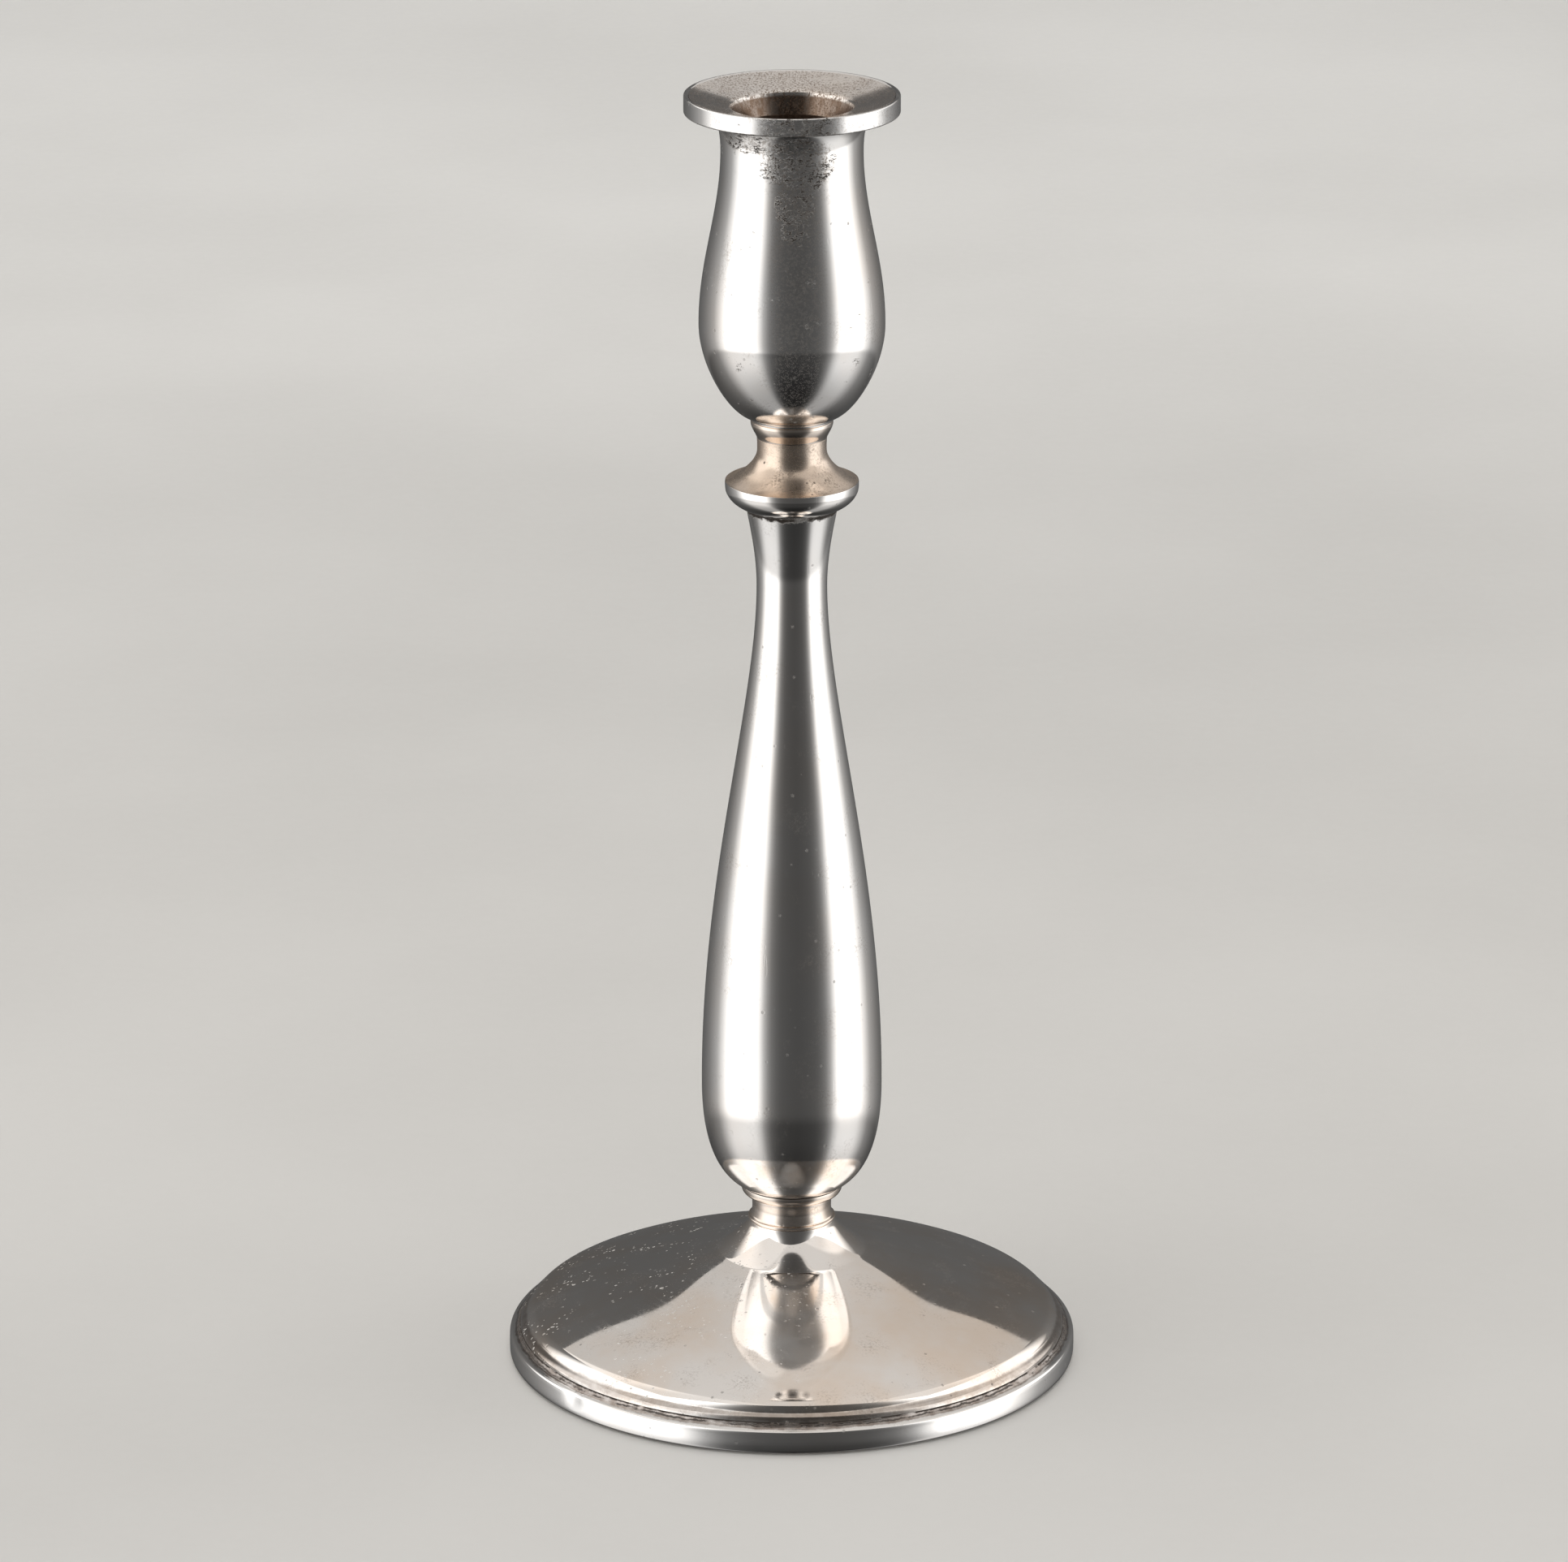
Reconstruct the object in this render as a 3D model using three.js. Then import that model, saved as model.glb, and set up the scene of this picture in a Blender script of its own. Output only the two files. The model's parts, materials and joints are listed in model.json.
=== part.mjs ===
// Table candlestick in polished silver: a thin turned shell over a weighted core, standing on a
// round domed foot, with a vase-shaped cup and a lift-out nozzle.
// Units are millimetres. +Z is up, and the origin is the centre of the underside.
import * as THREE from 'three';

// ---------------------------------------------------------------- driving dimensions
const HEIGHT = 260;              // table to the edge of the nozzle rim
const FOOT_RADIUS = 57.05;       // widest circle of the foot band
const SHEET = 0.8;               // thickness of the spun silver sheet
const SEGMENTS = 32;             // facets around every turned piece

// nozzle
const RIM_RADIUS = 21;
const RIM_BAND_HEIGHT = 3.6;
const RIM_WALL = 1;
const PAN_SLOPE = 14.2;          // fall of the dished pan towards the throat, in degrees
const PAN_INSIDE = 12.6;         // radius where the pan turns down into the throat
const THROAT_ROLL = 1;           // radius of the rolled edge of the throat
const THROAT_SLOPE = 70;         // slope of the throat wall down to the bore, in degrees
const BORE_RADIUS = 10.5;        // takes a common 7/8 inch candle end
const SOCKET_DEPTH = 28.2;       // rim edge to the candle's seat
const NOZZLE_SEAT_RADIUS = 14.5; // inner edge of the flange that rests on the cup

// cup
const CUP_LIP_RADIUS = 16.2;
const CUP_NECK = { r: 13.86, z: 248.86 };
const CUP_BELLY = { r: 18.2, z: 214.2 };
const CUP_FOOT = { r: 8.1, z: 195.1 };
const LINER_CLEARANCE = 0.4;     // between the candle tube and the liner it slides in
const LINER_FLOOR = 227;
const CUP_FLOOR = { r: 6.4, height: 1.2 };  // flat floor inside the cup, above its foot

// collar, spool and knop
const COLLAR_RADIUS = 8.1;
const COLLAR_SHOULDER = 194.4;   // height below which the collar tapers in like a bowl
const SPOOL_TOP = { r: 6.9, z: 191.4 };
const SPOOL_WAIST = { r: 6.8, z: 189 };
const SPOOL_HOLLOW = 5.5;        // radius of the hollow inside the top of the spool
const KNOP_EDGE = { r: 13.1, z: 182.6 };
const KNOP_BAND = 2;             // height of the upright edge of the knop
const KNOP_SEAT = 10.2;          // radius inside which the spool's flange is hollow
const KNOP_FOOT = 9.1;           // radius where the knop meets the stem
const KNOP_FLOOR = { r: 8, z: 178.7 };

// stem
const STEM_TOP = { r: 8.95, z: 176.9 };
const STEM_WAIST = { r: 6.95, z: 161.2 };
const STEM_BULB = { r: 18.03, z: 57.4 };
const STEM_FOOT = { r: 10.05, z: 35.8 };

// ring and ferrule under the bulb
const RING_RADIUS = 10.1;
const RING_BOTTOM = { r: 8.3, z: 33.4 };
const FERRULE_RADIUS = 8.05;
const FERRULE_BEAD = { r: 8.8, height: 0.8 };

// foot
const FOOT_NECK = { r: 8.6, z: 28.2 };
const FOOT_KNEE = { r: 15.1, z: 21.8, slope: 21.3 };
const FOOT_SHOULDER = { r: 51.6, z: 9.5, slope: 25.8 };
const FOOT_HOLLOW = 16;          // reach of the hollow part of the ogee, out from the knee
const FOOT_SWELL = 15.3;         // reach of the swelling part, in from the shoulder
const FOOT_STEP = { r: 54.9, z: 6.05 };
const BAND_BOTTOM = 0.35;        // the silver edge clears the table by this much
const BAND_LIP = { r: 53.2, z: 0.95 };
const BAND_WALL = 1.1;

// weighting and fixings inside
const ROD_RADIUS = 2;
const ROD_HOLE = 2.3;
const ROD_BOTTOM = 2.4;
const ROD_TOP = 201.5;
const NUT_FLATS = 7;
const NUT_HEIGHT = 3.2;
const NUT_BORE = 2.1;
const WASHER = { r: 5.6, height: 0.8 };
const PLATE_THICKNESS = 1.2;
const LOADING_GAP = 0.3;         // gap left round the loading, the plate and the baize

// ---------------------------------------------------------------- materials
function metal(color, roughness, metalness = 1) {
  return new THREE.MeshStandardMaterial({ color, roughness, metalness });
}

const silver = () => metal(0xd9d4cb, 0.14);
const warmSilver = () => metal(0xcdbfa9, 0.2);
const innerSilver = () => metal(0xb3aba0, 0.3);
const steel = () => metal(0x80827f, 0.45);
const loading = () => metal(0x2e2723, 0.9, 0);
const baize = () => metal(0x23402f, 1, 0);

// ---------------------------------------------------------------- outline helpers
const degrees = (angle) => angle * Math.PI / 180;

// A cubic curve in the outline plane as a list of [radius, height] points.
function curve(start, handleA, handleB, end, steps) {
  const path = new THREE.CubicBezierCurve(
    new THREE.Vector2(...start),
    new THREE.Vector2(...handleA),
    new THREE.Vector2(...handleB),
    new THREE.Vector2(...end),
  );
  return path.getPoints(steps).map((p) => [p.x, p.y]);
}

// A circular arc in the outline plane, angles in degrees from the outward direction.
function arc(centre, radius, from, to, steps) {
  const points = [];
  for (let i = 0; i <= steps; i += 1) {
    const angle = degrees(from + (to - from) * i / steps);
    points.push([centre[0] + radius * Math.cos(angle), centre[1] + radius * Math.sin(angle)]);
  }
  return points;
}

// Joins stretches of outline, leaving out a point that repeats the one before it.
function join(...stretches) {
  const points = [];
  for (const point of stretches.flat()) {
    const last = points[points.length - 1];
    if (!last || Math.hypot(point[0] - last[0], point[1] - last[1]) > 1e-6) {
      points.push(point);
    }
  }
  return points;
}

// The same outline moved towards the axis side by a distance, measured square to the outline.
// The outline runs from bottom to top; the two end points keep their heights.
function inset(outline, distance) {
  return outline.map((point, i) => {
    const before = outline[Math.max(i - 1, 0)];
    const after = outline[Math.min(i + 1, outline.length - 1)];
    const run = [after[0] - before[0], after[1] - before[1]];
    const length = Math.hypot(...run);
    if (i === 0 || i === outline.length - 1) {
      return [point[0] - distance * length / Math.abs(run[1]), point[1]];
    }
    return [point[0] - distance * run[1] / length, point[1] + distance * run[0] / length];
  });
}

// ---------------------------------------------------------------- solids
const candlestick = new THREE.Group();
candlestick.name = 'candlestick';

function addMesh(name, geometry, material) {
  const mesh = new THREE.Mesh(geometry, material);
  mesh.name = name;
  candlestick.add(mesh);
  return mesh;
}

// Turns a closed outline about the vertical axis. The outline runs up the outside and back down
// the inside; one that begins and ends on the axis needs no inside.
function turned(name, outline, material, segments = SEGMENTS) {
  const points = outline.map(([r, z]) => new THREE.Vector2(r, z));
  if (outline[0][0] > 0) {
    points.push(points[0].clone());
  }
  const geometry = new THREE.LatheGeometry(points, segments);
  geometry.rotateX(Math.PI / 2);
  return addMesh(name, geometry, material);
}

// A shell of even thickness under the given outer outline, which runs from bottom to top.
function shell(outer, distance = SHEET) {
  return join(outer, inset(outer, distance).reverse());
}

// ---------------------------------------------------------------- outer outlines, bottom to top
const lipZ = HEIGHT - RIM_BAND_HEIGHT;

// A point further down a slope, starting from a point of the outline.
function downhill({ r, z, slope }, distance) {
  return [r + distance * Math.cos(degrees(slope)), z - distance * Math.sin(degrees(slope))];
}

function domeOutline(coneSteps, flareSteps) {
  const edge = [FOOT_SHOULDER.r, FOOT_SHOULDER.z];
  const bend = [FOOT_KNEE.r, FOOT_KNEE.z];
  const neck = [FOOT_NECK.r, FOOT_NECK.z];
  return join(
    curve(edge, downhill(FOOT_SHOULDER, -FOOT_SWELL), downhill(FOOT_KNEE, FOOT_HOLLOW), bend, coneSteps),
    curve(bend, downhill(FOOT_KNEE, -0.5), [neck[0], neck[1] - 1.85], neck, flareSteps),
  );
}

function footOutline(edgeSteps, coneSteps, flareSteps) {
  const edge = [FOOT_SHOULDER.r, FOOT_SHOULDER.z];
  const fall = [53.5, 7.7];
  return join(
    curve([FOOT_STEP.r, FOOT_STEP.z], [54.6, 7.1], [53.9, 7.2], fall, edgeSteps),
    curve(fall, [53.2, 8.3], downhill(FOOT_SHOULDER, 1), edge, edgeSteps),
    domeOutline(coneSteps, flareSteps),
  );
}

function stemOutline(bulbSteps, taperSteps, flareSteps) {
  const foot = [STEM_FOOT.r, STEM_FOOT.z];
  const bulb = [STEM_BULB.r, STEM_BULB.z];
  const waist = [STEM_WAIST.r, STEM_WAIST.z];
  return join(
    curve(foot, [16, 38.9], [bulb[0], bulb[1] - 10.3], bulb, bulbSteps),
    curve(bulb, [bulb[0], bulb[1] + 44], [waist[0], waist[1] - 24.5], waist, taperSteps),
    curve(waist, [waist[0], waist[1] + 6], [8.2, 173], [STEM_TOP.r, STEM_TOP.z], flareSteps),
  );
}

function cupOutline(bowlSteps, neckSteps, lipSteps) {
  const foot = [CUP_FOOT.r, CUP_FOOT.z];
  const belly = [CUP_BELLY.r, CUP_BELLY.z];
  const neck = [CUP_NECK.r, CUP_NECK.z];
  return join(
    [foot],
    curve([foot[0] + 0.3, foot[1] + 0.6], [12.3, 196.4], [belly[0], belly[1] - 8.2], belly, bowlSteps),
    curve(belly, [belly[0], belly[1] + 13.2], [neck[0], neck[1] - 12.4], neck, neckSteps),
    curve(neck, [neck[0], neck[1] + 4.5], [14.7, lipZ - 1], [CUP_LIP_RADIUS, lipZ], lipSteps),
  );
}

// ---------------------------------------------------------------- nozzle, the piece that lifts out
const seatZ = HEIGHT - SOCKET_DEPTH;
const tubeOuter = BORE_RADIUS + SHEET;
const rimInner = RIM_RADIUS - RIM_WALL;
const panEdge = HEIGHT - 0.2;

// The dished top of the pan and the throat wall: [radius, height] from the rim to the bore,
// raised or lowered square to the surface by an offset.
function panSurface(offset, rollSteps) {
  const panTurn = 90 + PAN_SLOPE;
  const wallTurn = 90 + THROAT_SLOPE;
  const fall = (rimInner - PAN_INSIDE) * Math.tan(degrees(PAN_SLOPE));
  const centre = [
    PAN_INSIDE - THROAT_ROLL * Math.cos(degrees(panTurn)),
    panEdge - fall - THROAT_ROLL * Math.sin(degrees(panTurn)),
  ];
  const roll = arc(centre, THROAT_ROLL + offset, panTurn, wallTurn, rollSteps);
  const wallTop = roll[roll.length - 1];
  const boreEdge = BORE_RADIUS - offset;
  return [
    [rimInner, panEdge + offset / Math.cos(degrees(PAN_SLOPE))],
    ...roll,
    [boreEdge, wallTop[1] - (wallTop[0] - boreEdge) * Math.tan(degrees(THROAT_SLOPE))],
  ];
}

function buildNozzle() {
  turned('nozzle_rim_band', [
    [NOZZLE_SEAT_RADIUS, lipZ],
    [RIM_RADIUS - 0.4, lipZ],
    [RIM_RADIUS, lipZ + 0.4],
    [RIM_RADIUS, HEIGHT - 0.3],
    [RIM_RADIUS - 0.3, HEIGHT],
    [rimInner, panEdge],
    [rimInner, lipZ + SHEET],
    [NOZZLE_SEAT_RADIUS, lipZ + SHEET],
  ], silver());

  const panTop = panSurface(0, 4);
  const panUnder = panSurface(-SHEET, 2);
  const tubeTop = panTop[panTop.length - 1][1];
  const underEnd = panUnder[panUnder.length - 1];
  underEnd[1] = tubeTop;
  turned('nozzle_pan', join(panUnder.reverse(), panTop), silver());

  turned('nozzle_candle_tube', [
    [0, seatZ - SHEET],
    [tubeOuter - 0.6, seatZ - SHEET],
    [tubeOuter, seatZ - 0.2],
    [tubeOuter, tubeTop],
    [BORE_RADIUS, tubeTop],
    [BORE_RADIUS, seatZ],
    [0, seatZ],
  ], innerSilver());
}

// ---------------------------------------------------------------- cup
function buildCup() {
  const inner = inset(cupOutline(6, 5, 2).slice(2), SHEET).reverse();
  const floorZ = CUP_FOOT.z + CUP_FLOOR.height;
  const floor = [[CUP_FLOOR.r, floorZ], [ROD_HOLE, floorZ], [ROD_HOLE, CUP_FOOT.z]];
  turned('cup_shell', join(cupOutline(7, 7, 4), inner, floor), silver());

  const linerInner = tubeOuter + LINER_CLEARANCE;
  const linerOuter = linerInner + SHEET;
  turned('cup_liner', [
    [0, LINER_FLOOR],
    [linerOuter, LINER_FLOOR],
    [linerOuter, CUP_NECK.z + 1],
    [linerOuter + 0.7, lipZ - 2.4],
    [linerOuter + 1.9, lipZ],
    [linerOuter + 0.9, lipZ],
    [linerInner + 0.7, lipZ - 2],
    [linerInner, CUP_NECK.z + 1.3],
    [linerInner, LINER_FLOOR + SHEET],
    [0, LINER_FLOOR + SHEET],
  ], innerSilver());
}

// ---------------------------------------------------------------- collar, spool and knop
function buildKnop() {
  turned('cup_collar', join(
    [[ROD_HOLE, SPOOL_TOP.z], [SPOOL_TOP.r, SPOOL_TOP.z]],
    curve(
      [SPOOL_TOP.r, SPOOL_TOP.z],
      [SPOOL_TOP.r + 0.1, SPOOL_TOP.z + 0.7],
      [COLLAR_RADIUS - 0.1, COLLAR_SHOULDER - 1.2],
      [COLLAR_RADIUS, COLLAR_SHOULDER],
      4,
    ),
    [[COLLAR_RADIUS - 0.25, CUP_FOOT.z], [ROD_HOLE, CUP_FOOT.z]],
  ), warmSilver());

  const edge = [KNOP_EDGE.r, KNOP_EDGE.z];
  const waist = [SPOOL_WAIST.r, SPOOL_WAIST.z];
  const spoolOuter = join(
    curve(edge, [edge[0] - 2.1, edge[1] + 0.3], [waist[0], waist[1] - 3], waist, 7),
    [[SPOOL_TOP.r, SPOOL_TOP.z]],
  );
  turned('knop_spool', join(
    spoolOuter,
    [[ROD_HOLE, SPOOL_TOP.z], [ROD_HOLE, SPOOL_TOP.z - 1]],
    [[SPOOL_HOLLOW, SPOOL_TOP.z - 1]],
    curve([5.9, waist[1] - 0.4], [6.1, 186], [7.4, 184.2], [KNOP_SEAT, edge[1]], 4),
  ), warmSilver());

  const under = edge[1] - KNOP_BAND;
  const dishOuter = join(
    [[KNOP_FOOT, STEM_TOP.z]],
    curve([KNOP_FOOT, STEM_TOP.z + 0.3], [10, 178], [12.2, 178.6], [edge[0] - 0.2, under], 5),
    curve([edge[0] - 0.2, under], [edge[0] + 0.1, under + 0.8], [edge[0] + 0.1, edge[1] - 0.4], edge, 3),
  );
  turned('knop_dish', join(
    dishOuter,
    [[KNOP_SEAT, edge[1]], [KNOP_SEAT, edge[1] - 1.3], [KNOP_FLOOR.r, KNOP_FLOOR.z]],
    [[ROD_HOLE, KNOP_FLOOR.z], [ROD_HOLE, STEM_TOP.z]],
  ), silver());
}

// ---------------------------------------------------------------- stem, ring and ferrule
function buildStem() {
  const inner = inset(stemOutline(6, 8, 3), SHEET).reverse();
  turned('stem_shell', join(stemOutline(7, 10, 4), inner), silver());

  turned('stem_ring', join(
    [[ROD_HOLE, RING_BOTTOM.z], [RING_BOTTOM.r, RING_BOTTOM.z]],
    curve(
      [RING_BOTTOM.r + 0.3, RING_BOTTOM.z + 0.15],
      [9.7, 33.8],
      [RING_RADIUS, 34.4],
      [RING_RADIUS, 35.1],
      3,
    ),
    [[RING_RADIUS, 35.6], [RING_RADIUS - 0.2, STEM_FOOT.z], [ROD_HOLE, STEM_FOOT.z]],
  ), warmSilver());

  const beadTop = FOOT_NECK.z + FERRULE_BEAD.height;
  const wall = 1.2;
  turned('foot_ferrule', [
    [FERRULE_RADIUS - wall, FOOT_NECK.z],
    [FERRULE_BEAD.r - 0.15, FOOT_NECK.z],
    [FERRULE_BEAD.r, FOOT_NECK.z + 0.3],
    [FERRULE_BEAD.r - 0.2, beadTop],
    [FERRULE_RADIUS + 0.1, beadTop + 0.5],
    [FERRULE_RADIUS - 0.1, 31],
    [FERRULE_RADIUS, RING_BOTTOM.z],
    [FERRULE_RADIUS - wall, RING_BOTTOM.z],
  ], warmSilver());
}

// ---------------------------------------------------------------- foot
function buildFoot() {
  const inner = inset(footOutline(2, 5, 3), SHEET).reverse();
  turned('foot_shell', join(footOutline(3, 6, 5), inner), silver());

  turned('foot_rim_band', [
    [BAND_LIP.r, BAND_BOTTOM],
    [FOOT_RADIUS - 0.45, BAND_BOTTOM],
    [FOOT_RADIUS - 0.1, 1],
    [FOOT_RADIUS, 2.4],
    [FOOT_RADIUS - 0.05, 3.6],
    [FOOT_RADIUS - 0.2, 4.3],
    [FOOT_RADIUS - 0.65, 4.8],
    [FOOT_STEP.r + 0.7, 5.3],
    [FOOT_STEP.r, FOOT_STEP.z],
    [FOOT_STEP.r - 1.3, FOOT_STEP.z],
    [FOOT_STEP.r - 1.3, 5],
    [FOOT_RADIUS - BAND_WALL, 3.9],
    [FOOT_RADIUS - BAND_WALL, BAND_LIP.z],
    [BAND_LIP.r, BAND_LIP.z],
  ], silver());
}

// ---------------------------------------------------------------- weighting, plate and baize
const plateTop = BAND_LIP.z + PLATE_THICKNESS;

function buildWeighting() {
  const plateRadius = FOOT_RADIUS - BAND_WALL - LOADING_GAP;
  turned('base_plate', [
    [0, BAND_LIP.z],
    [plateRadius, BAND_LIP.z],
    [plateRadius, plateTop],
    [0, plateTop],
  ], steel());

  const padRadius = BAND_LIP.r - LOADING_GAP;
  turned('baize_pad', [
    [0, 0],
    [padRadius, 0],
    [padRadius, BAND_LIP.z],
    [0, BAND_LIP.z],
  ], baize());

  const nutRoom = 5.2;
  const rimInside = FOOT_STEP.r - 3;
  const domeInside = inset(domeOutline(5, 3), SHEET + LOADING_GAP);
  turned('foot_loading', join(
    [[nutRoom, plateTop], [rimInside, plateTop], [rimInside, FOOT_STEP.z]],
    domeInside.slice(1, -1),
    [[7.3, FOOT_NECK.z - 0.4], [ROD_HOLE, FOOT_NECK.z - 0.4]],
    [[ROD_HOLE, plateTop + NUT_HEIGHT + 1], [nutRoom, plateTop + NUT_HEIGHT + 1]],
  ), loading());

  const stemInside = inset(stemOutline(5, 6, 2), SHEET + LOADING_GAP);
  turned('stem_loading', join(
    [[ROD_HOLE, STEM_FOOT.z + 0.3], [stemInside[0][0] - 0.8, STEM_FOOT.z + 0.3]],
    stemInside.slice(1, -1),
    [[stemInside[stemInside.length - 2][0], STEM_TOP.z - 3], [ROD_HOLE, STEM_TOP.z - 3]],
  ), loading());
}

// A hexagon nut with a plain round bore.
function nut(name, z) {
  const outline = new THREE.Shape();
  const corner = NUT_FLATS / 2 / Math.cos(degrees(30));
  for (let i = 0; i < 6; i += 1) {
    const angle = degrees(60 * i);
    outline[i === 0 ? 'moveTo' : 'lineTo'](corner * Math.cos(angle), corner * Math.sin(angle));
  }
  outline.closePath();
  const bore = new THREE.Path();
  bore.absarc(0, 0, NUT_BORE, 0, 2 * Math.PI, true);
  outline.holes.push(bore);
  const geometry = new THREE.ExtrudeGeometry(outline, {
    depth: NUT_HEIGHT,
    bevelEnabled: false,
    curveSegments: 12,
  });
  addMesh(name, geometry, steel()).position.z = z;
}

function buildFixings() {
  const rodSides = 16;
  turned('tie_rod', [
    [0, ROD_BOTTOM],
    [ROD_RADIUS, ROD_BOTTOM],
    [ROD_RADIUS, ROD_TOP],
    [0, ROD_TOP],
  ], steel(), rodSides);

  const washerZ = CUP_FOOT.z + CUP_FLOOR.height;
  turned('tie_rod_top_washer', [
    [ROD_HOLE, washerZ],
    [WASHER.r, washerZ],
    [WASHER.r, washerZ + WASHER.height],
    [ROD_HOLE, washerZ + WASHER.height],
  ], steel());

  nut('tie_rod_top_nut', washerZ + WASHER.height);
  nut('tie_rod_foot_nut', plateTop);
}

buildNozzle();
buildCup();
buildKnop();
buildStem();
buildFoot();
buildWeighting();
buildFixings();

export default candlestick;
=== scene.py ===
import json
import math

import bmesh
import bpy
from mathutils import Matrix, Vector


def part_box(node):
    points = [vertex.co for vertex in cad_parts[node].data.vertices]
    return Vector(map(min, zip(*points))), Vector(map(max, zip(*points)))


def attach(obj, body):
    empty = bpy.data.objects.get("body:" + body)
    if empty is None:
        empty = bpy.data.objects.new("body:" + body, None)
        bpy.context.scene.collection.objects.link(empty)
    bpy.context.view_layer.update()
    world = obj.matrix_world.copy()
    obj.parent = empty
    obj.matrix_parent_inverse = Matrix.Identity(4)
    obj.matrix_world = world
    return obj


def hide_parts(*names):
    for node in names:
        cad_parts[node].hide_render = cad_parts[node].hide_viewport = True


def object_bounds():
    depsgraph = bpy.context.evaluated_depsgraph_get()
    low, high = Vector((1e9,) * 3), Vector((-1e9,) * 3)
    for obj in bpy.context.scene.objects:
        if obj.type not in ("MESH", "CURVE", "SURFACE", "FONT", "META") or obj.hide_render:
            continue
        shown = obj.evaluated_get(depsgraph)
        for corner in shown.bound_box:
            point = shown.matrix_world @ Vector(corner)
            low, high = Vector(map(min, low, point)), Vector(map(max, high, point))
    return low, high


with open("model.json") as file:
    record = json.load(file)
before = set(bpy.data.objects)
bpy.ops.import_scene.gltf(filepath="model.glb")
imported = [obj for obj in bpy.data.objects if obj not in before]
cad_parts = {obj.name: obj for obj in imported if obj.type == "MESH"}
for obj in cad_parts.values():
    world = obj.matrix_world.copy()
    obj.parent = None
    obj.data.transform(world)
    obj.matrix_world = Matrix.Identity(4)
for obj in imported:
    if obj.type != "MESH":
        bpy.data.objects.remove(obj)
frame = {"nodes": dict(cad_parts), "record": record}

CAD_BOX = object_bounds()
MM = 0.001

# ---------------------------------------------------------------- sizes, in metres
SHEET = 0.8 * MM                 # thickness of the spun silver
FINEST = 288                     # facets round the foot
FINE = 224                       # facets round the other large pieces
MEDIUM = 160                     # facets round the small ones
SOFTENED_TURN = math.radians(24) # sharper turns of an outline than this are rounded
ROUND_LIMIT = 0.4                # the share of a side that a rounding can take up
ROUND_SUPPORT = 0.15             # how far past a rounding its close point is, as a share of it
ROUND_STEPS = 5
HARD_EDGE = math.radians(50)     # sharper edges of a mesh than this keep a crease
SAME_POINT = 1e-7
ON_AXIS = 1e-6


def low(node):
    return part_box(node)[0].z


def high(node):
    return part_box(node)[1].z


def radius(node):
    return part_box(node)[1].x


# ---------------------------------------------------------------- outline helpers
def curve(start, handle_a, handle_b, end, steps):
    """A cubic curve in the outline plane."""
    points = []
    for i in range(steps + 1):
        t = i / steps
        a, b, c, d = (1 - t) ** 3, 3 * (1 - t) ** 2 * t, 3 * (1 - t) * t ** 2, t ** 3
        points.append(tuple(
            a * start[k] + b * handle_a[k] + c * handle_b[k] + d * end[k] for k in (0, 1)
        ))
    return points


def arc(centre, size, begin, finish, steps):
    """A circular arc in the outline plane, angles in degrees from the outward direction."""
    points = []
    for i in range(steps + 1):
        angle = math.radians(begin + (finish - begin) * i / steps)
        points.append((centre[0] + size * math.cos(angle), centre[1] + size * math.sin(angle)))
    return points


def join(*stretches):
    """One outline from several stretches, leaving out repeated points."""
    points = []
    for stretch in stretches:
        for point in stretch:
            if not points or math.dist(point, points[-1]) > SAME_POINT:
                points.append(point)
    return points


def inset(outline, distance):
    """The outline moved towards the axis side; the two ends keep their heights."""
    moved = []
    last = len(outline) - 1
    for i, point in enumerate(outline):
        before, after = outline[max(i - 1, 0)], outline[min(i + 1, last)]
        run = (after[0] - before[0], after[1] - before[1])
        length = math.hypot(*run)
        if i in (0, last):
            moved.append((point[0] - distance * length / abs(run[1]), point[1]))
        else:
            moved.append((
                point[0] - distance * run[1] / length,
                point[1] + distance * run[0] / length,
            ))
    return moved


def soften(outline, size):
    """Rounds the sharp corners of an outline, with a close point on each side of the round."""
    closed = outline[0][0] > 0
    count = len(outline)
    points = []
    for i, corner in enumerate(outline):
        if not closed and i in (0, count - 1):
            points.append(corner)
            continue
        back, ahead = outline[i - 1], outline[(i + 1) % count]
        a = Vector((back[0] - corner[0], back[1] - corner[1]))
        b = Vector((ahead[0] - corner[0], ahead[1] - corner[1]))
        turn = math.pi - a.angle(b)
        if turn < SOFTENED_TURN:
            points.append(corner)
            continue
        reach = min(size * math.tan(turn / 2), ROUND_LIMIT * a.length, ROUND_LIMIT * b.length)
        p, a, b = Vector(corner), a.normalized(), b.normalized()
        support = ROUND_SUPPORT * reach
        points.append(tuple(p + a * (reach + support)))
        for k in range(ROUND_STEPS + 1):
            t = k / ROUND_STEPS
            points.append(tuple(p + a * reach * (1 - t) ** 2 + b * reach * t ** 2))
        points.append(tuple(p + b * (reach + support)))
    return points


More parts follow.
